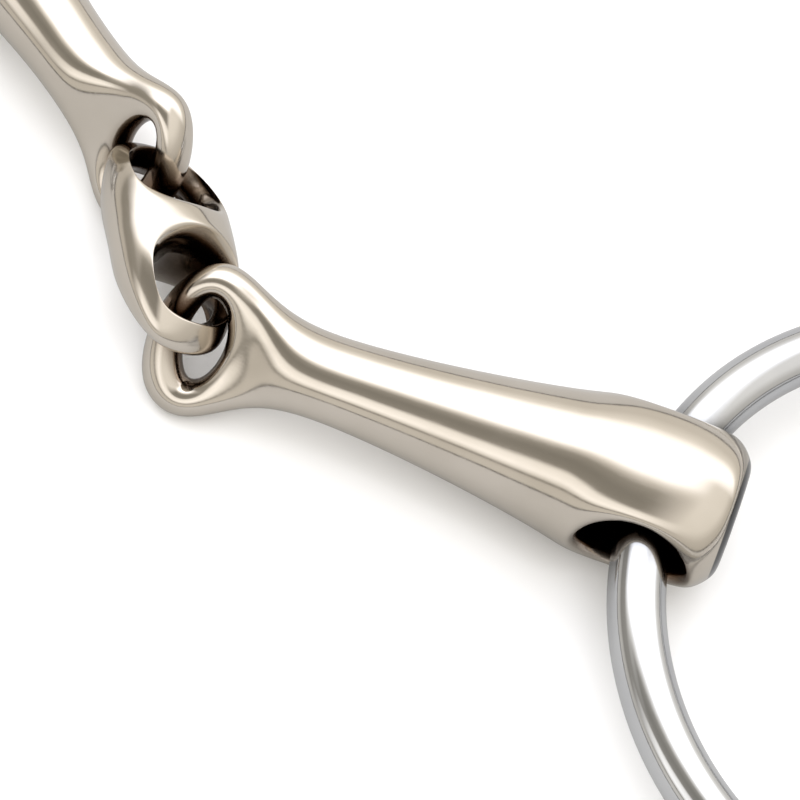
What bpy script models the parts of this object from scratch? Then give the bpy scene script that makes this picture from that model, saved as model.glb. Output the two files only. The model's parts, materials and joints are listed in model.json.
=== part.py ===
"""Double-jointed loose-ring snaffle bit, lying on a flat surface.

Five forged and polished pieces: two rings, two cannons and the centre link that
joins the cannons. Lengths are in metres. +Z is up and the surface is at z = 0.
"""
from math import cos, pi, radians, sin

import bmesh
import bpy
from mathutils import Matrix, Vector

MM = 0.001

# Rings: round bar bent to a circle
RING_BAR = 6.5 * MM             # diameter of the bar
RING_OUTSIDE = 78.0 * MM        # outside diameter of the ring
RING_SEGMENTS = 56
BAR_SEGMENTS = 10

# Cannon: the lengths run from the centre of its eye towards the ring
HOLE_REACH = 53.4 * MM          # to the middle of the ring hole
END_REACH = 63.0 * MM           # to the flat end face
BARREL_RADIUS = 9.4 * MM
END_FACE_RADIUS = 5.6 * MM
HOLE_LENGTH = 13.6 * MM         # opening of the ring hole, along the cannon
HOLE_WIDTH = 11.4 * MM          # opening of the ring hole, around the barrel
THROAT_LENGTH = 11.6 * MM       # size of the hole halfway through, along the cannon
THROAT_WIDTH = 10.6 * MM        # the same, across the cannon
RIM_MARGIN = 0.8 * MM           # from the rim of the hole to the next section
RIM_OUT, RIM_IN = 1.11, 0.97    # rounding of a hole's rim, as parts of the opening
RIM_SINK = 1.5 * MM
HOLE_TURN = radians(-45)        # ring hole turned from the plane of the eye

# Eye: a bar bent to an oval loop at the inner end of each cannon
EYE_SIDE_BAR = 2.35 * MM        # half the width of the bar at the sides of the eye
EYE_END_BAR = 1.9 * MM          # half the width of the bar at its far end
EYE_BAR_DEPTH = 2.4 * MM        # half the bar's depth through the eye
EYE_HALF_WIDTH = 7.2 * MM       # centre line of the loop, across the cannon
EYE_FAR_LENGTH = 4.1 * MM       # centre line, from the middle to the far end
EYE_NECK_LENGTH = 4.8 * MM      # centre line, from the middle to the neck
EYE_BEND = 1.6 * MM             # the far end of the eye lies this much to one side

# Centre link: a rounded bean with two holes
LINK_LENGTH = 28.6 * MM
LINK_WIDTH = 16.2 * MM
LINK_THICKNESS = 11.8 * MM
LINK_BOW = 1.5 * MM             # the ends lie this much lower than the middle
LINK_HOLE_REACH = 6.7 * MM      # from the middle of the link to each hole
LINK_HOLE_LENGTH = 10.4 * MM
LINK_HOLE_WIDTH = 12.8 * MM
LINK_THROAT_LENGTH = 7.6 * MM
LINK_THROAT_WIDTH = 9.4 * MM
LINK_BAR_REACH = 12.2 * MM      # to the middle of the bar around the end of each hole

# How the bit lies
LINK_YAW = radians(-34.05)
LINK_ROLL = radians(-37.0)
LINK_RISE = radians(6.2)          # its right end lies higher
LINK_PLACE = (-0.35 * MM, -0.55 * MM, 8.93 * MM)
LEFT_YAW = radians(-10.7)
RIGHT_YAW = radians(24.3)
RIGHT_ROLL = radians(44)
LEFT_ROLL = radians(61)
RIGHT_RISE = radians(2.6)       # the barrel ends lie higher than the eyes
LEFT_RISE = radians(1.0)
RIGHT_EYE = (9.94 * MM, -5.36 * MM, 6.9 * MM)
LEFT_EYE = (-10.85 * MM, 5.45 * MM, 8.53 * MM)
RING_LIFT = 0.7 * MM            # the ring's bar rides high in its hole
RING_SLIDE = 0.7 * MM           # and is pulled outwards
RIGHT_RING = (radians(20.5), radians(-5.4), 0.0)            # yaw, rise and roll
LEFT_RING = (radians(172.0), radians(1.2), radians(-11))

LEVELS = 1                      # subdivision of the cages

# Eight points on a circle make a smooth curve of this part of its radius
SHRINK_8 = (2 + cos(pi / 4)) / 3
SHRINK_6 = (2 + cos(pi / 3)) / 3


def clear_scene():
    for obj in list(bpy.data.objects):
        bpy.data.objects.remove(obj, do_unlink=True)


def metal(name, colour, roughness):
    material = bpy.data.materials.new(name)
    material.use_nodes = True
    shader = material.node_tree.nodes["Principled BSDF"]
    shader.inputs["Base Color"].default_value = (*colour, 1.0)
    shader.inputs["Metallic"].default_value = 1.0
    shader.inputs["Roughness"].default_value = roughness
    return material


class Cage:
    """A control cage of four-sided faces, collected piece by piece."""

    def __init__(self):
        self.points = []
        self.faces = []

    def loop(self, points):
        first = len(self.points)
        self.points.extend(Vector(p) for p in points)
        return list(range(first, len(self.points)))

    def join(self, a, b, skip=()):
        count = len(a)
        for i in range(count):
            if i not in skip:
                j = (i + 1) % count
                self.faces.append((a[i], a[j], b[j], b[i]))

    def cap(self, loop, middle):
        centre = self.loop([middle])[0]
        for i in range(0, len(loop), 2):
            self.faces.append((loop[i], loop[i + 1], loop[(i + 2) % len(loop)], centre))

    def mirror(self, side):
        self.points = [Vector((side * p.x, p.y, p.z)) for p in self.points]

    def build(self, name, material, levels):
        mesh = bpy.data.meshes.new(name)
        mesh.from_pydata([tuple(p) for p in self.points], [], self.faces)
        work = bmesh.new()
        work.from_mesh(mesh)
        loose = [v for v in work.verts if not v.link_faces]
        bmesh.ops.delete(work, geom=loose, context="VERTS")
        bmesh.ops.recalc_face_normals(work, faces=work.faces)
        work.to_mesh(mesh)
        work.free()
        mesh.shade_smooth()
        obj = bpy.data.objects.new(name, mesh)
        bpy.context.collection.objects.link(obj)
        obj.data.materials.append(material)
        smooth = obj.modifiers.new("smooth", "SUBSURF")
        smooth.levels = levels
        smooth.render_levels = levels
        return obj


# Around a hole, the eight points of a loop lie in these directions
HOLE_TURNS = [radians(a) for a in (225, 180, 135, 90, 45, 0, -45, -90)]
# The same loop counted from the other side of the hole
FAR_ORDER = [2, 1, 0, 7, 6, 5, 4, 3]


def rim_points(stations, k):
    """The eight points around the missing middle one, number k of three sections."""
    near, middle, far = stations
    before, after = (k - 1) % 8, (k + 1) % 8
    return [near[before], near[k], near[after], middle[after],
            far[after], far[k], far[before], middle[before]]


def drill(cage, stations, k, centre, turn, opening, throat, surface):
    """A round-edged hole from point k of the sections to the point opposite."""
    def place(x, across, up, facing):
        return (centre + x,
                across * -sin(facing) + up * cos(facing),
                across * cos(facing) + up * sin(facing))

    def oval(scale, sink, facing):
        points = []
        for angle in HOLE_TURNS:
            x = opening[0] / 2 * scale * cos(angle)
            across = opening[1] / 2 * scale * sin(angle)
            points.append(place(x, across, surface(centre + x, across) - sink, facing))
        return cage.loop(points)

    length, width = throat[0] / 2 / SHRINK_8, throat[1] / 2 / SHRINK_8
    middle = cage.loop(place(length * cos(a), width * sin(a), 0, turn) for a in HOLE_TURNS)
    for side, facing in ((k, turn), ((k + 4) % 8, turn + pi)):
        rim = rim_points(stations, side)
        edge = oval(RIM_OUT, 0, facing)
        lip = oval(RIM_IN, RIM_SINK, facing)
        inner = middle if side == k else [middle[i] for i in FAR_ORDER]
        cage.join(rim, edge)
        cage.join(edge, lip)
        cage.join(lip, inner)


def hole_skips(k):
    """The four faces around point k, and the four opposite, that a hole takes away."""
    return {(k - 1) % 8, k, (k + 3) % 8, (k + 4) % 8}


def eye_loop(cage):
    """The eye as eight six-sided sections, open towards the neck."""
    sections = []
    for i in range(8):
        turn = i * pi / 4
        half_length = EYE_NECK_LENGTH if cos(turn) > 0 else EYE_FAR_LENGTH
        middle = Vector((half_length * cos(turn), EYE_HALF_WIDTH * sin(turn), 0))
        out = Vector((cos(turn) / half_length, sin(turn) / EYE_HALF_WIDTH, 0)).normalized()
        bar = EYE_END_BAR + (EYE_SIDE_BAR - EYE_END_BAR) * sin(turn) ** 2
        points = []
        for j in range(6):
            reach = bar / SHRINK_6 * cos(j * pi / 3)
            rise = EYE_BAR_DEPTH / SHRINK_6 * sin(j * pi / 3)
            point = (middle + out * reach) / SHRINK_8 + Vector((0, 0, rise))
            past = min(point.x - EYE_NECK_LENGTH, 0) / (EYE_NECK_LENGTH + EYE_FAR_LENGTH)
            point.y -= EYE_BEND * past ** 2
            points.append(point)
        sections.append(cage.loop(points))
    for i in range(8):
        skip = {0, 5} if i in (0, 7) else ()
        cage.join(sections[i], sections[(i + 1) % 8], skip)
    first, top, last = sections[1], sections[0], sections[7]
    return [first[0], first[1], top[1], last[1], last[0], last[5], top[5], first[5]]


def round_section(cage, x, radius):
    r = radius / SHRINK_8
    return cage.loop((x, r * cos(i * pi / 4), r * sin(i * pi / 4)) for i in range(8))


def cannon(name, side, material, levels):
    """One cannon along X: its eye at the origin, its barrel towards side * X."""
    cage = Cage()
    neck = eye_loop(cage)
    taper = ((10.5, 4.95), (17.5, 4.95), (27, 5.85), (36, 7.1), (43, 8.35))
    for x, radius in taper:
        ring = round_section(cage, x * MM, radius * MM)
        cage.join(neck, ring)
        neck = ring
    half = HOLE_LENGTH / 2 + RIM_MARGIN
    stations = [round_section(cage, HOLE_REACH + dx, r)
                for dx, r in ((-half, BARREL_RADIUS - 0.3 * MM), (0, BARREL_RADIUS),
                              (half, BARREL_RADIUS - 0.7 * MM))]
    k = 7
    cage.join(neck, stations[0])
    cage.join(stations[0], stations[1], hole_skips(k))
    cage.join(stations[1], stations[2], hole_skips(k))

    def surface(x, across):
        return (BARREL_RADIUS ** 2 - across ** 2) ** 0.5

    drill(cage, stations, k, HOLE_REACH, HOLE_TURN, (HOLE_LENGTH, HOLE_WIDTH),
          (THROAT_LENGTH, THROAT_WIDTH), surface)
    face = stations[2]
    for back, wider in ((0.5, 1.5), (0.0, 0.3), (0.0, -1.1)):
        edge = round_section(cage, END_REACH - back * MM, END_FACE_RADIUS + wider * MM)
        cage.join(face, edge)
        face = edge
    cage.cap(face, (END_REACH, 0, 0))
    cage.mirror(side)
    return cage.build(name, material, levels)


def link_half_width(x):
    return LINK_WIDTH / 2 * (1 - abs(2 * x / LINK_LENGTH) ** 2.6) ** (1 / 2.6)


def link_half_thickness(x):
    return LINK_THICKNESS / 2 * (1 - abs(2 * x / LINK_LENGTH) ** 1.7) ** (1 / 1.7)


def link_section(cage, x):
    w, t = link_half_width(x) / SHRINK_8, link_half_thickness(x) / SHRINK_8
    return cage.loop((x, w * cos(i * pi / 4), t * sin(i * pi / 4)) for i in range(8))


def centre_link(material, levels):
    """The bean between the cannons, along X, its holes along Z."""
    cage = Cage()
    tip = LINK_LENGTH / 2
    reach = LINK_HOLE_LENGTH / 2 + 0.1 * MM

    def surface(x, across):
        return link_half_thickness(x) * (1 - (across / link_half_width(x)) ** 2) ** 0.5

    ends = []
    for side in (-1, 1):
        stations = [link_section(cage, side * (LINK_HOLE_REACH + dx)) for dx in (-reach, 0, reach)]
        shoulder = link_section(cage, side * tip * 0.955)
        if side < 0:
            stations.reverse()
            cage.join(shoulder, stations[0])
        else:
            cage.join(stations[2], shoulder)
        cage.join(stations[0], stations[1], hole_skips(2))
        cage.join(stations[1], stations[2], hole_skips(2))
        drill(cage, stations, 2, side * LINK_HOLE_REACH, pi / 2,
              (LINK_HOLE_LENGTH, LINK_HOLE_WIDTH), (LINK_THROAT_LENGTH, LINK_THROAT_WIDTH), surface)
        cage.cap(shoulder, (side * tip * 1.03, 0, 0))
        ends.append(stations)
    cage.join(ends[0][2], ends[1][0])
    for point in cage.points:
        point.z -= LINK_BOW * (2 * point.x / LINK_LENGTH) ** 2
    return cage.build("centre_link", material, levels)


def ring(name, material):
    """A ring in the XY plane through the origin, its middle along +X."""
    radius = (RING_OUTSIDE - RING_BAR) / 2
    bpy.ops.mesh.primitive_torus_add(
        major_segments=RING_SEGMENTS, minor_segments=BAR_SEGMENTS,
        major_radius=radius, minor_radius=RING_BAR / 2)
    obj = bpy.context.object
    obj.name = obj.data.name = name
    obj.data.transform(Matrix.Translation((radius, 0, 0)))
    obj.data.shade_smooth()
    obj.data.materials.append(material)
    return obj


def frame(place, yaw, rise=0.0, roll=0.0):
    return (Matrix.Translation(place) @ Matrix.Rotation(yaw, 4, "Z")
            @ Matrix.Rotation(-rise, 4, "Y") @ Matrix.Rotation(roll, 4, "X"))


def hang(child, parent):
    """Make child follow parent, and leave it where it is."""
    bpy.context.view_layer.update()
    child.parent = parent
    child.matrix_parent_inverse = parent.matrix_world.inverted()


def pivot(name, place, parent):
    """An empty on a joint's axis, which is its own Y."""
    empty = bpy.data.objects.new(name, None)
    bpy.context.collection.objects.link(empty)
    empty.matrix_world = place
    hang(empty, parent)
    return empty


def stand_at_origin(root, pieces):
    """Move the assembly so that the middle of its underside is at the origin."""
    bpy.context.view_layer.update()
    depsgraph = bpy.context.evaluated_depsgraph_get()
    corners = []
    for piece in pieces:
        mesh = piece.evaluated_get(depsgraph).to_mesh()
        corners.extend(piece.matrix_world @ v.co for v in mesh.vertices)
    lows = [min(c[i] for c in corners) for i in range(3)]
    highs = [max(c[i] for c in corners) for i in range(3)]
    root.location -= Vector(((lows[0] + highs[0]) / 2, (lows[1] + highs[1]) / 2, lows[2]))


def main():
    clear_scene()
    warm = metal("warm_steel", (0.72, 0.66, 0.58), 0.12)
    steel = metal("ring_steel", (0.66, 0.67, 0.69), 0.08)

    link = centre_link(warm, LEVELS)
    link.matrix_world = frame(LINK_PLACE, LINK_YAW, LINK_RISE, LINK_ROLL)
    pieces = [link]
    for side, name, yaw, rise, roll, eye, lie in (
            (1, "right", RIGHT_YAW, RIGHT_RISE, RIGHT_ROLL, RIGHT_EYE, RIGHT_RING),
            (-1, "left", LEFT_YAW, LEFT_RISE, LEFT_ROLL, LEFT_EYE, LEFT_RING)):
        bar = Vector((side * LINK_BAR_REACH, 0, -LINK_BOW * (2 * LINK_BAR_REACH / LINK_LENGTH) ** 2))
        joint = pivot(name + "_joint", link.matrix_world @ Matrix.Translation(bar), link)
        body = cannon(name + "_cannon", side, warm, LEVELS)
        body.matrix_world = frame(eye, yaw, side * rise, roll)
        hole = body.matrix_world @ Vector((side * HOLE_REACH, 0, 0))
        hole += Vector((side * RING_SLIDE * cos(yaw), side * RING_SLIDE * sin(yaw), RING_LIFT))
        loop = ring(name + "_ring", steel)
        loop.matrix_world = frame(hole, *lie)
        hang(loop, body)
        hang(body, joint)
        pieces += [body, loop]
    stand_at_origin(link, pieces)


main()
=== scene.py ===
"""Looks of a double-jointed loose-ring snaffle bit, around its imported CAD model.

The visual pieces follow the same cages as the CAD, at a finer level, so that
reflections run smoothly over the polished metal. Lengths are in metres.
"""

import json
from math import cos, pi, radians, sin

import bmesh
import bpy
from mathutils import Matrix, Vector


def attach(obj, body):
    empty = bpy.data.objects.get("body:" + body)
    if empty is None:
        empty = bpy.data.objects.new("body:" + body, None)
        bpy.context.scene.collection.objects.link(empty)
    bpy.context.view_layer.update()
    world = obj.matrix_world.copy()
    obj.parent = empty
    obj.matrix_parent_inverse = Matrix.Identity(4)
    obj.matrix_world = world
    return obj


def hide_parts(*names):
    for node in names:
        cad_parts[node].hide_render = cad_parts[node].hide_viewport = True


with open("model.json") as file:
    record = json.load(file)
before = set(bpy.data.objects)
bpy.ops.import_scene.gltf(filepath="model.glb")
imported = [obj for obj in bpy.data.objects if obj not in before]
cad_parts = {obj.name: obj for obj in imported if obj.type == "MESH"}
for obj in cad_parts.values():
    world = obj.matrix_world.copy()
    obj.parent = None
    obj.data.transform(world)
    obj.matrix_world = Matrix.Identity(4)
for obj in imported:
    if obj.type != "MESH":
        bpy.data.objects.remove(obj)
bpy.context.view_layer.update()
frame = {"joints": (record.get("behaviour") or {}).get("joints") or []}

MM = 0.001

# Rings: round bar bent to a circle
RING_BAR = 6.5 * MM             # diameter of the bar
RING_OUTSIDE = 78.0 * MM        # outside diameter of the ring
RING_SEGMENTS = 56
BAR_SEGMENTS = 10

# Cannon: the lengths run from the centre of its eye towards the ring
HOLE_REACH = 53.4 * MM          # to the middle of the ring hole
END_REACH = 63.0 * MM           # to the flat end face
BARREL_RADIUS = 9.4 * MM
END_FACE_RADIUS = 5.6 * MM
HOLE_LENGTH = 13.6 * MM         # opening of the ring hole, along the cannon
HOLE_WIDTH = 11.4 * MM          # opening of the ring hole, around the barrel
THROAT_LENGTH = 11.6 * MM       # size of the hole halfway through, along the cannon
THROAT_WIDTH = 10.6 * MM        # the same, across the cannon
RIM_MARGIN = 0.8 * MM           # from the rim of the hole to the next section
RIM_OUT, RIM_IN = 1.11, 0.97    # rounding of a hole's rim, as parts of the opening
RIM_SINK = 1.5 * MM
HOLE_TURN = radians(-45)        # ring hole turned from the plane of the eye
BARREL_EASE = (0.3 * MM, 0.7 * MM)      # the barrel is thinner before and after the ring hole
TAPER = ((10.5, 4.95), (17.5, 4.95), (27, 5.85), (36, 7.1), (43, 8.35))     # reach and radius, mm
END_EDGES = ((0.5, 1.5), (0.0, 0.3), (0.0, -1.1))   # back from the end, and past the face's radius, mm

# Eye: a bar bent to an oval loop at the inner end of each cannon
EYE_SIDE_BAR = 2.35 * MM        # half the width of the bar at the sides of the eye
EYE_END_BAR = 1.9 * MM          # half the width of the bar at its far end
EYE_BAR_DEPTH = 2.4 * MM        # half the bar's depth through the eye
EYE_HALF_WIDTH = 7.2 * MM       # centre line of the loop, across the cannon
EYE_FAR_LENGTH = 4.1 * MM       # centre line, from the middle to the far end
EYE_NECK_LENGTH = 4.8 * MM      # centre line, from the middle to the neck
EYE_BEND = 1.6 * MM             # the far end of the eye lies this much to one side

# Centre link: a rounded bean with two holes
LINK_LENGTH = 28.6 * MM
LINK_WIDTH = 16.2 * MM
LINK_THICKNESS = 11.8 * MM
LINK_BOW = 1.5 * MM             # the ends lie this much lower than the middle
LINK_HOLE_REACH = 6.7 * MM      # from the middle of the link to each hole
LINK_HOLE_LENGTH = 10.4 * MM
LINK_HOLE_WIDTH = 12.8 * MM
LINK_THROAT_LENGTH = 7.6 * MM
LINK_THROAT_WIDTH = 9.4 * MM
LINK_BAR_REACH = 12.2 * MM      # to the middle of the bar around the end of each hole
LINK_RIM_MARGIN = 0.1 * MM      # from the rim of a hole to the next section
LINK_SHOULDER = 0.955           # the last section and the tip, as parts of half the length
LINK_TIP = 1.03
WIDTH_POWER, THICKNESS_POWER = 2.6, 1.7     # fullness of the bean's outline from above and the side

# How the bit lies
LINK_YAW = radians(-34.05)
LINK_ROLL = radians(-37.0)
LINK_RISE = radians(6.2)        # its right end lies higher
LINK_PLACE = (-0.35 * MM, -0.55 * MM, 8.93 * MM)
LEFT_YAW = radians(-10.7)
RIGHT_YAW = radians(24.3)
RIGHT_ROLL = radians(44)
LEFT_ROLL = radians(61)
RIGHT_RISE = radians(2.6)       # the barrel ends lie higher than the eyes
LEFT_RISE = radians(1.0)
RIGHT_EYE = (9.94 * MM, -5.36 * MM, 6.9 * MM)
LEFT_EYE = (-10.85 * MM, 5.45 * MM, 8.53 * MM)
RING_LIFT = 0.7 * MM            # the ring's bar rides high in its hole
RING_SLIDE = 0.7 * MM           # and is pulled outwards
RIGHT_RING = (radians(20.5), radians(-5.4), 0.0)            # yaw, rise and roll
LEFT_RING = (radians(172.0), radians(1.2), radians(-11))

# Eight points on a circle make a smooth curve of this part of its radius
SHRINK_8 = (2 + cos(pi / 4)) / 3
SHRINK_6 = (2 + cos(pi / 3)) / 3
LEVELS = 4                      # subdivision of the cages
RING_STEPS = 240                # faces around the ring
BAR_STEPS = 48                  # faces around its bar

# Camera: what it looks at, from where, and how far it is turned about its view
AIM = (0.0334, -0.0186, 0.0038)
AZIMUTH = radians(-59.14)
ELEVATION = radians(64.50)
ROLL = radians(14.5)
DISTANCE = 0.342
LENS = 135.0                    # millimetres, as is the sensor
SENSOR_WIDTH = 36.0

# Sky: a level of 1 is the brightest strip
BACK = (-0.33, 0.94, 0.0)       # level direction from the front of the bit to its back
SKY_STRENGTH = 2.6
# Levels over the arc, from the horizon behind the bit, 0, to the one in front, 1
OVER = (
    (0.0, 0.33), (0.08, 0.33), (0.15, 0.45), (0.21, 0.80), (0.40, 1.0), (0.48, 0.92),
    (0.53, 0.40), (0.57, 0.16), (0.63, 0.12), (0.715, 0.14), (0.75, 0.50), (0.83, 0.60), (0.87, 0.40),
    (0.89, 0.10), (0.91, 0.30), (1.0, 0.32))
# Levels by height, from the horizon, 0, to overhead, 1, at either end of the bit
RIGHT = ((0.0, 0.25), (0.3, 0.30), (0.6, 0.42), (1.0, 0.45))
LEFT = ((0.0, 0.28), (0.2, 0.26), (0.3, 0.14), (0.55, 0.16), (0.75, 0.45), (1.0, 0.5))
# Where the ends take over, as the part of a direction that points right, or back
RIGHT_FROM = (0.05, 0.35)
RIGHT_NOT_BACK = (0.3, 0.6)
LEFT_FROM = (-0.62, -0.85)
HORIZON_HEIGHT = (0.015, 0.045)
HORIZON_TONE = (0.03, 0.03, 0.03, 1.0)

# Light on the floor
OVERHEAD_PLACE = (0.1, -0.35, 1.3)
OVERHEAD_SIZE = (1.2, 1.0)
OVERHEAD_POWER = 8.0

# Floor: name, height, and its lowest and highest tone
FLOOR_SIZE = 3.0
SHEETS = (("floor_sheet", 0.0, 0.90, 0.92), ("reflected_sheet", -0.2 * MM, 0.45, 0.49))

# Metals: tones, roughness as low, high and smears, and how long the polishing lines are
ALLOY = {"light": (0.67, 0.615, 0.542), "dark": (0.62, 0.567, 0.492), "rough": (0.10, 0.15, 0.05),
         "scratch_scale": (500.0, 4000.0, 4000.0), "wave": 0.5}
STEEL = {"light": (0.64, 0.645, 0.65), "dark": (0.58, 0.585, 0.60), "rough": (0.06, 0.11, 0.05),
         "scratch_scale": (900.0, 900.0, 5000.0), "wave": 0.4}
# Their painted shade in closed-in places: how far it looks, between which openness, and its tone
LINK_SHADE = {"reach": 12 * MM, "shade_openness": (0.45, 0.82), "painted_shade_tone": (0.09, 0.06, 0.04)}
BARREL_SHADE = {"reach": 10 * MM, "shade_openness": (0.35, 0.80), "painted_shade_tone": (0.15, 0.095, 0.06)}
RING_SHADE = {"reach": 8 * MM, "shade_openness": (0.50, 0.95), "painted_shade_tone": (0.10, 0.10, 0.105)}
LINE_HEIGHT = 0.012             # of the polishing lines, beside the waviness
SPECK_HEIGHT = 0.004
BUMP_DEPTH = 0.1 * MM
# Painted dark reflection: the end of a barrel is painted dark, with the rounded edge around it
DARK_DEPTH = 0.75 * MM          # from the end face to where the dark begins
DARK_WIDER = 2.4 * MM           # how much wider it is than the end face
DARK_SOFT = 0.1 * MM
PAINTED_REFLECTION_TONE = (0.10, 0.10, 0.10, 1.0)


class Cage:
    """A control cage of four-sided faces, collected piece by piece."""

    def __init__(self):
        self.points = []
        self.faces = []

    def loop(self, points):
        first = len(self.points)
        self.points.extend(Vector(p) for p in points)
        return list(range(first, len(self.points)))

    def join(self, a, b, skip=()):
        count = len(a)
        for i in range(count):
            if i not in skip:
                j = (i + 1) % count
                self.faces.append((a[i], a[j], b[j], b[i]))

    def cap(self, loop, middle):
        centre = self.loop([middle])[0]
        for i in range(0, len(loop), 2):
            self.faces.append((loop[i], loop[i + 1], loop[(i + 2) % len(loop)], centre))

    def mirror(self, side):
        self.points = [Vector((side * p.x, p.y, p.z)) for p in self.points]

    def build(self, name, material, levels):
        mesh = bpy.data.meshes.new(name)
        mesh.from_pydata([tuple(p) for p in self.points], [], self.faces)
        work = bmesh.new()
        work.from_mesh(mesh)
        loose = [v for v in work.verts if not v.link_faces]
        bmesh.ops.delete(work, geom=loose, context="VERTS")
        bmesh.ops.recalc_face_normals(work, faces=work.faces)
        work.to_mesh(mesh)
        work.free()
        mesh.shade_smooth()
        obj = bpy.data.objects.new(name, mesh)
        bpy.context.collection.objects.link(obj)
        obj.data.materials.append(material)
        smooth = obj.modifiers.new("smooth", "SUBSURF")
        smooth.levels = levels
        smooth.render_levels = levels
        return obj


# Around a hole, the eight points of a loop lie in these directions
HOLE_TURNS = [radians(a) for a in (225, 180, 135, 90, 45, 0, -45, -90)]
# The same loop counted from the other side of the hole
FAR_ORDER = [2, 1, 0, 7, 6, 5, 4, 3]


def rim_points(stations, k):
    """The eight points around the missing middle one, number k of three sections."""
    near, middle, far = stations
    before, after = (k - 1) % 8, (k + 1) % 8
    return [near[before], near[k], near[after], middle[after],
            far[after], far[k], far[before], middle[before]]


def drill(cage, stations, k, centre, turn, opening, throat, surface):
    """A round-edged hole from point k of the sections to the point opposite."""
    def place(x, across, up, facing):
        return (centre + x,
                across * -sin(facing) + up * cos(facing),
                across * cos(facing) + up * sin(facing))

    def oval(scale, sink, facing):
        points = []
        for angle in HOLE_TURNS:
            x = opening[0] / 2 * scale * cos(angle)
            across = opening[1] / 2 * scale * sin(angle)
            points.append(place(x, across, surface(centre + x, across) - sink, facing))
        return cage.loop(points)

    length, width = throat[0] / 2 / SHRINK_8, throat[1] / 2 / SHRINK_8
    middle = cage.loop(place(length * cos(a), width * sin(a), 0, turn) for a in HOLE_TURNS)
    for side, facing in ((k, turn), ((k + 4) % 8, turn + pi)):
        rim = rim_points(stations, side)
        edge = oval(RIM_OUT, 0, facing)
        lip = oval(RIM_IN, RIM_SINK, facing)
        inner = middle if side == k else [middle[i] for i in FAR_ORDER]
        cage.join(rim, edge)
        cage.join(edge, lip)
        cage.join(lip, inner)


def hole_skips(k):
    """The four faces around point k, and the four opposite, that a hole takes away."""
    return {(k - 1) % 8, k, (k + 3) % 8, (k + 4) % 8}


def eye_loop(cage):
    """The eye as eight six-sided sections, open towards the neck."""
    sections = []
    for i in range(8):
        turn = i * pi / 4
        half_length = EYE_NECK_LENGTH if cos(turn) > 0 else EYE_FAR_LENGTH
        middle = Vector((half_length * cos(turn), EYE_HALF_WIDTH * sin(turn), 0))
        out = Vector((cos(turn) / half_length, sin(turn) / EYE_HALF_WIDTH, 0)).normalized()
        bar = EYE_END_BAR + (EYE_SIDE_BAR - EYE_END_BAR) * sin(turn) ** 2
        points = []
        for j in range(6):
            reach = bar / SHRINK_6 * cos(j * pi / 3)
            rise = EYE_BAR_DEPTH / SHRINK_6 * sin(j * pi / 3)
            point = (middle + out * reach) / SHRINK_8 + Vector((0, 0, rise))
            past = min(point.x - EYE_NECK_LENGTH, 0) / (EYE_NECK_LENGTH + EYE_FAR_LENGTH)
            point.y -= EYE_BEND * past ** 2
            points.append(point)
        sections.append(cage.loop(points))
    for i in range(8):
        skip = {0, 5} if i in (0, 7) else ()
        cage.join(sections[i], sections[(i + 1) % 8], skip)
    first, top, last = sections[1], sections[0], sections[7]
    return [first[0], first[1], top[1], last[1], last[0], last[5], top[5], first[5]]


def round_section(cage, x, radius):
    r = radius / SHRINK_8
    return cage.loop((x, r * cos(i * pi / 4), r * sin(i * pi / 4)) for i in range(8))


def cannon(name, side, material, levels):
    """One cannon along X: its eye at the origin, its barrel towards side * X."""
    cage = Cage()
    neck = eye_loop(cage)
    for x, radius in TAPER:
        ring = round_section(cage, x * MM, radius * MM)
        cage.join(neck, ring)
        neck = ring
    half = HOLE_LENGTH / 2 + RIM_MARGIN
    stations = [round_section(cage, HOLE_REACH + dx, r)
                for dx, r in ((-half, BARREL_RADIUS - BARREL_EASE[0]), (0, BARREL_RADIUS),
                              (half, BARREL_RADIUS - BARREL_EASE[1]))]
    k = 7
    cage.join(neck, stations[0])
    cage.join(stations[0], stations[1], hole_skips(k))
    cage.join(stations[1], stations[2], hole_skips(k))

    def surface(x, across):
        return (BARREL_RADIUS ** 2 - across ** 2) ** 0.5

    drill(cage, stations, k, HOLE_REACH, HOLE_TURN, (HOLE_LENGTH, HOLE_WIDTH),
          (THROAT_LENGTH, THROAT_WIDTH), surface)
    face = stations[2]
    for back, wider in END_EDGES:
        edge = round_section(cage, END_REACH - back * MM, END_FACE_RADIUS + wider * MM)
        cage.join(face, edge)
        face = edge
    cage.cap(face, (END_REACH, 0, 0))
    cage.mirror(side)
    return cage.build(name, material, levels)


def link_half_width(x):
    return LINK_WIDTH / 2 * (1 - abs(2 * x / LINK_LENGTH) ** WIDTH_POWER) ** (1 / WIDTH_POWER)


def link_half_thickness(x):
    return LINK_THICKNESS / 2 * (1 - abs(2 * x / LINK_LENGTH) ** THICKNESS_POWER) ** (1 / THICKNESS_POWER)


def link_section(cage, x):
    w, t = link_half_width(x) / SHRINK_8, link_half_thickness(x) / SHRINK_8
    return cage.loop((x, w * cos(i * pi / 4), t * sin(i * pi / 4)) for i in range(8))


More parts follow.
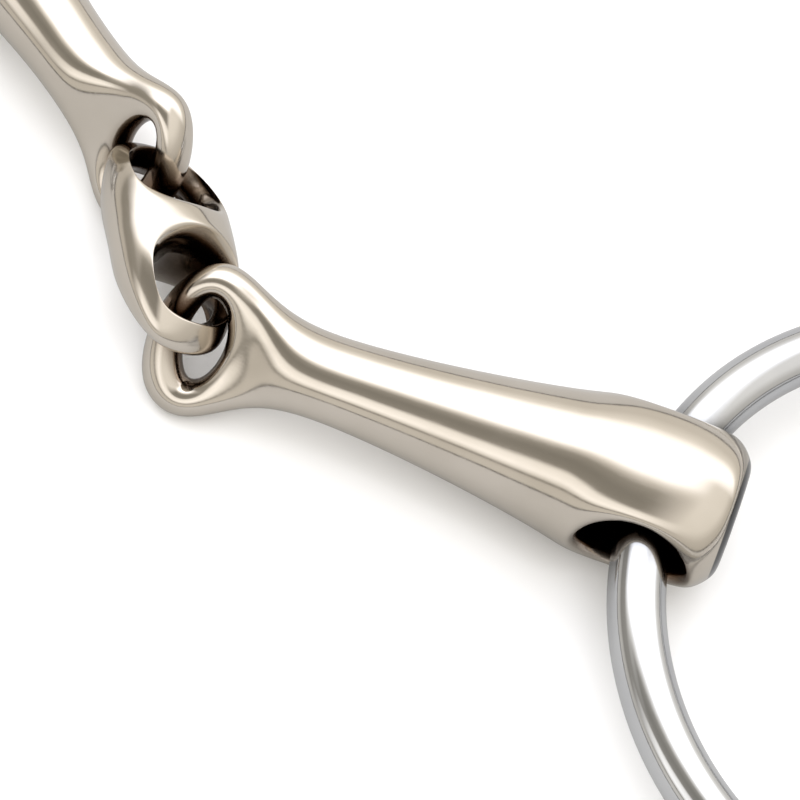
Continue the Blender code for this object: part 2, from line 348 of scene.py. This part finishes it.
def centre_link(material, levels):
    """The bean between the cannons, along X, its holes along Z."""
    cage = Cage()
    tip = LINK_LENGTH / 2
    reach = LINK_HOLE_LENGTH / 2 + LINK_RIM_MARGIN

    def surface(x, across):
        return link_half_thickness(x) * (1 - (across / link_half_width(x)) ** 2) ** 0.5

    ends = []
    for side in (-1, 1):
        stations = [link_section(cage, side * (LINK_HOLE_REACH + dx)) for dx in (-reach, 0, reach)]
        shoulder = link_section(cage, side * tip * LINK_SHOULDER)
        if side < 0:
            stations.reverse()
            cage.join(shoulder, stations[0])
        else:
            cage.join(stations[2], shoulder)
        cage.join(stations[0], stations[1], hole_skips(2))
        cage.join(stations[1], stations[2], hole_skips(2))
        drill(cage, stations, 2, side * LINK_HOLE_REACH, pi / 2,
              (LINK_HOLE_LENGTH, LINK_HOLE_WIDTH), (LINK_THROAT_LENGTH, LINK_THROAT_WIDTH), surface)
        cage.cap(shoulder, (side * tip * LINK_TIP, 0, 0))
        ends.append(stations)
    cage.join(ends[0][2], ends[1][0])
    for point in cage.points:
        point.z -= LINK_BOW * (2 * point.x / LINK_LENGTH) ** 2
    return cage.build("centre_link", material, levels)


def lie(place, yaw, rise, roll):
    """Where a piece lies: rolled about its own X, tipped up, then turned about Z."""
    return (Matrix.Translation(place) @ Matrix.Rotation(yaw, 4, "Z")
            @ Matrix.Rotation(-rise, 4, "Y") @ Matrix.Rotation(roll, 4, "X"))


def ring(name, material):
    """A ring in the XY plane through the origin, its middle along +X."""
    reach, bar = (RING_OUTSIDE - RING_BAR) / 2, RING_BAR / 2
    points, faces = [], []
    for i in range(RING_STEPS):
        turn = i * 2 * pi / RING_STEPS
        for j in range(BAR_STEPS):
            out = reach + bar * cos(j * 2 * pi / BAR_STEPS)
            points.append((reach + out * cos(turn), out * sin(turn), bar * sin(j * 2 * pi / BAR_STEPS)))
            a, b = i * BAR_STEPS, (i + 1) % RING_STEPS * BAR_STEPS
            k = (j + 1) % BAR_STEPS
            faces.append((a + j, b + j, b + k, a + k))
    mesh = bpy.data.meshes.new(name)
    mesh.from_pydata(points, [], faces)
    mesh.shade_smooth()
    obj = bpy.data.objects.new(name, mesh)
    bpy.context.collection.objects.link(obj)
    obj.data.materials.append(material)
    return obj


class Nodes:
    """Short calls for building a node tree."""

    def __init__(self, tree):
        self.tree = tree
        tree.nodes.clear()

    def add(self, kind, inputs=None, **settings):
        node = self.tree.nodes.new(kind)
        for key, value in settings.items():
            setattr(node, key, value)
        for key, value in (inputs or {}).items():
            if isinstance(value, bpy.types.NodeSocket):
                self.tree.links.new(value, node.inputs[key])
            else:
                node.inputs[key].default_value = value
        return node

    def noise(self, vector, scale, detail=2.0, roughness=0.5):
        return self.add("ShaderNodeTexNoise", {
            "Vector": vector, "Scale": scale, "Detail": detail, "Roughness": roughness}).outputs["Fac"]

    def scaled(self, vector, scale):
        return self.add("ShaderNodeMapping", {"Vector": vector, "Scale": scale}).outputs["Vector"]

    def span(self, value, low, high, to_low, to_high):
        return self.add("ShaderNodeMapRange", {
            "Value": value, "From Min": low, "From Max": high,
            "To Min": to_low, "To Max": to_high}).outputs["Result"]

    def blend(self, factor, a, b):
        node = self.add("ShaderNodeMix", data_type="RGBA")
        for socket, value in ((node.inputs[0], factor), (node.inputs[6], a), (node.inputs[7], b)):
            if isinstance(value, bpy.types.NodeSocket):
                self.tree.links.new(value, socket)
            else:
                socket.default_value = value
        return node.outputs[2]


def polished(name, light, dark, rough, scratch_scale, wave, reach, shade_openness, painted_shade_tone, face=False):
    """Hand-polished metal: faint tone changes, fine polishing lines and a slow waviness.

    Painted shade darkens it where it is closed in, inside the holes and between pieces that touch.
    With `face` set, the end of a barrel is painted dark too, as a painted reflection.
    """
    material = bpy.data.materials.new(name)
    material.use_nodes = True
    n = Nodes(material.node_tree)
    place = n.add("ShaderNodeTexCoord").outputs["Object"]

    clouds = n.noise(place, 90.0, 3.0)
    specks = n.noise(place, 900.0, 2.0)
    tone = n.blend(n.span(clouds, 0.35, 0.65, 0.0, 1.0), (*dark, 1.0), (*light, 1.0))
    # Painted shade: where ambient occlusion finds the surface closed in, the colour turns to a dark tone
    open_sky = n.add("ShaderNodeAmbientOcclusion", {"Distance": reach}, samples=8).outputs["AO"]
    tone = n.blend(n.span(open_sky, shade_openness[0], shade_openness[1], 0.0, 1.0), (*painted_shade_tone, 1.0), tone)
    # Painted dark reflection over the end face of the barrel and part of its rounded edge
    if face:
        dark_radius = END_FACE_RADIUS + DARK_WIDER
        parts = n.add("ShaderNodeSeparateXYZ", {"Vector": place}).outputs
        along = n.add("ShaderNodeMath", {0: parts["X"]}, operation="ABSOLUTE").outputs[0]
        across = n.add("ShaderNodeVectorMath", {
            0: n.add("ShaderNodeCombineXYZ", {"Y": parts["Y"], "Z": parts["Z"]}).outputs[0]},
            operation="LENGTH").outputs["Value"]
        inside = n.add("ShaderNodeMath", {
            0: n.span(along, END_REACH - DARK_DEPTH, END_REACH - DARK_DEPTH + DARK_SOFT, 0.0, 1.0),
            1: n.span(across, dark_radius, dark_radius + DARK_SOFT, 1.0, 0.0)},
            operation="MULTIPLY").outputs[0]
        tone = n.blend(inside, tone, PAINTED_REFLECTION_TONE)

    lines = n.noise(n.scaled(place, scratch_scale), 1.0, 4.0, 0.65)
    smears = n.noise(n.scaled(place, (60.0, 140.0, 140.0)), 1.0, 3.0)
    roughness = n.add("ShaderNodeMath", {
        0: n.span(lines, 0.45, 0.75, rough[0], rough[1]),
        1: n.span(smears, 0.45, 0.8, 0.0, rough[2])}, operation="ADD").outputs[0]

    slow = n.noise(place, 130.0, 1.0)
    heights = n.add("ShaderNodeMath", {
        0: n.add("ShaderNodeMath", {0: slow, 1: wave}, operation="MULTIPLY").outputs[0],
        1: n.add("ShaderNodeMath", {0: lines, 1: LINE_HEIGHT}, operation="MULTIPLY").outputs[0]},
        operation="ADD").outputs[0]
    heights = n.add("ShaderNodeMath", {
        0: heights,
        1: n.add("ShaderNodeMath", {0: specks, 1: SPECK_HEIGHT}, operation="MULTIPLY").outputs[0]},
        operation="ADD").outputs[0]
    bump = n.add("ShaderNodeBump", {"Strength": 1.0, "Distance": BUMP_DEPTH, "Height": heights})

    shader = n.add("ShaderNodeBsdfPrincipled", {
        "Base Color": tone, "Metallic": 1.0, "Roughness": roughness, "Normal": bump.outputs["Normal"]})
    n.add("ShaderNodeOutputMaterial", {"Surface": shader.outputs["BSDF"]})
    return material


def paper(name, low, high):
    """The pale sheet the bit lies on."""
    material = bpy.data.materials.new(name)
    material.use_nodes = True
    n = Nodes(material.node_tree)
    place = n.add("ShaderNodeTexCoord").outputs["Object"]
    tone = n.blend(n.noise(place, 40.0, 3.0), (low, low, low, 1.0), (high, high, high, 1.0))
    shader = n.add("ShaderNodeBsdfPrincipled", {
        "Base Color": tone, "Roughness": 0.9, "Specular IOR Level": 0.1})
    n.add("ShaderNodeOutputMaterial", {"Surface": shader.outputs["BSDF"]})
    return material


def studio():
    """Strip lights along the bit, with a dark room between them.

    The sky runs from the horizon behind the bit, over the top, to the horizon in
    front, so one ramp over that half turn sets the strips. Beyond the two ends of
    the bit the sky changes with height alone.
    """
    world = bpy.data.worlds.new("studio")
    bpy.context.scene.world = world
    world.use_nodes = True
    n = Nodes(world.node_tree)
    look = n.add("ShaderNodeTexCoord").outputs["Generated"]

    def along(direction):
        return n.add("ShaderNodeVectorMath", {0: look, 1: Vector(direction).normalized()},
                     operation="DOT_PRODUCT").outputs["Value"]

    def strips(value, levels, top):
        ramp = n.add("ShaderNodeValToRGB", {"Fac": n.span(value, 0.0, top, 0.0, 1.0)})
        stops = ramp.color_ramp.elements
        stops.remove(stops[-1])
        for i, (at, level) in enumerate(levels):
            stop = stops[0] if i == 0 else stops.new(at)
            stop.position = at
            # The darker a strip, the browner it is
            stop.color = (level, level * (0.94 + 0.07 * level), level * (0.82 + 0.24 * level), 1.0)
        return ramp.outputs["Color"]

    height = along((0, 0, 1))
    arc = n.add("ShaderNodeMath", {0: height, 1: along(BACK)}, operation="ARCTAN2").outputs[0]
    aside = along((BACK[1], -BACK[0], 0))
    beside = n.add("ShaderNodeMath", {
        0: n.span(aside, *RIGHT_FROM, 0.0, 1.0), 1: n.span(along(BACK), *RIGHT_NOT_BACK, 1.0, 0.0)},
        operation="MULTIPLY").outputs[0]
    sky = n.blend(beside, strips(arc, OVER, pi), strips(height, RIGHT, 1.0))
    sky = n.blend(n.span(aside, *LEFT_FROM, 0.0, 1.0), sky, strips(height, LEFT, 1.0))
    sky = n.blend(n.span(height, *HORIZON_HEIGHT, 0.0, 1.0), HORIZON_TONE, sky)
    light = n.add("ShaderNodeBackground", {"Color": sky, "Strength": SKY_STRENGTH})
    n.add("ShaderNodeOutputWorld", {"Surface": light.outputs["Background"]})


def camera():
    data = bpy.data.cameras.new("camera")
    data.lens = LENS
    data.sensor_width = SENSOR_WIDTH
    data.clip_start = 0.01
    obj = bpy.data.objects.new("camera", data)
    bpy.context.collection.objects.link(obj)
    away = Vector((cos(ELEVATION) * cos(AZIMUTH), cos(ELEVATION) * sin(AZIMUTH), sin(ELEVATION)))
    obj.matrix_world = (Matrix.Translation(Vector(AIM) + away * DISTANCE)
                        @ away.to_track_quat("Z", "Y").to_matrix().to_4x4()
                        @ Matrix.Rotation(ROLL, 4, "Z"))
    bpy.context.scene.camera = obj


def floor():
    """A pale sheet that the camera sees, and just under it a darker one that the metal reflects."""
    for name, height, low, high in SHEETS:
        bpy.ops.mesh.primitive_grid_add(
            x_subdivisions=8, y_subdivisions=8, size=FLOOR_SIZE, location=(0, 0, height))
        obj = bpy.context.object
        obj.name = name
        obj.data.materials.append(paper(name, low, high))
        obj.visible_glossy = name == "reflected_sheet"
        obj.visible_camera = not obj.visible_glossy
        # Neither sheet takes light from the other
        obj.visible_diffuse = obj.visible_shadow = False


def overhead():
    """Soft light that the metal doesn't mirror: it opens up the shadows on the floor."""
    data = bpy.data.lights.new("overhead", "AREA")
    data.shape = "RECTANGLE"
    data.size, data.size_y = OVERHEAD_SIZE
    data.energy = OVERHEAD_POWER
    obj = bpy.data.objects.new("overhead", data)
    bpy.context.collection.objects.link(obj)
    obj.matrix_world = (Matrix.Translation(OVERHEAD_PLACE)
                        @ Vector(OVERHEAD_PLACE).to_track_quat("Z", "Y").to_matrix().to_4x4())
    obj.visible_glossy = False


def main():
    warm = polished("polished_alloy", **ALLOY, **LINK_SHADE)
    barrel = polished("polished_alloy_barrel", **ALLOY, **BARREL_SHADE, face=True)
    steel = polished("polished_steel", **STEEL, **RING_SHADE)

    link = centre_link(warm, LEVELS)
    link.matrix_world = lie(LINK_PLACE, LINK_YAW, LINK_RISE, LINK_ROLL)
    placed = [(link, "centre_link", "warm_steel")]
    joints = {joint["name"]: Vector(joint["pos_m"]) for joint in frame["joints"]}
    # From the lie's own origin to the one of the frame
    shift = joints["right_eye_swing"] - link.matrix_world @ Vector(
        (LINK_BAR_REACH, 0, -LINK_BOW * (2 * LINK_BAR_REACH / LINK_LENGTH) ** 2))
    for side, name, yaw, rise, roll, eye, lay in (
            (1, "right", RIGHT_YAW, RIGHT_RISE, RIGHT_ROLL, RIGHT_EYE, RIGHT_RING),
            (-1, "left", LEFT_YAW, LEFT_RISE, LEFT_ROLL, LEFT_EYE, LEFT_RING)):
        body = cannon(name + "_barrel", side, barrel, LEVELS)
        body.matrix_world = lie(eye, yaw, side * rise, roll)
        loop = ring(name + "_loop", steel)
        loop.matrix_world = lie(joints[name + "_ring_swing"] - shift, *lay)
        placed += [(body, name + "_cannon", "warm_steel"), (loop, name + "_ring", "ring_steel")]
    link.name = "link"
    for obj, node, slot in placed:
        obj.matrix_world = Matrix.Translation(shift) @ obj.matrix_world
        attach(obj, node)
        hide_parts(node)
    floor()
    studio()
    overhead()
    camera()
    bpy.context.scene.view_settings.view_transform = "Standard"


main()
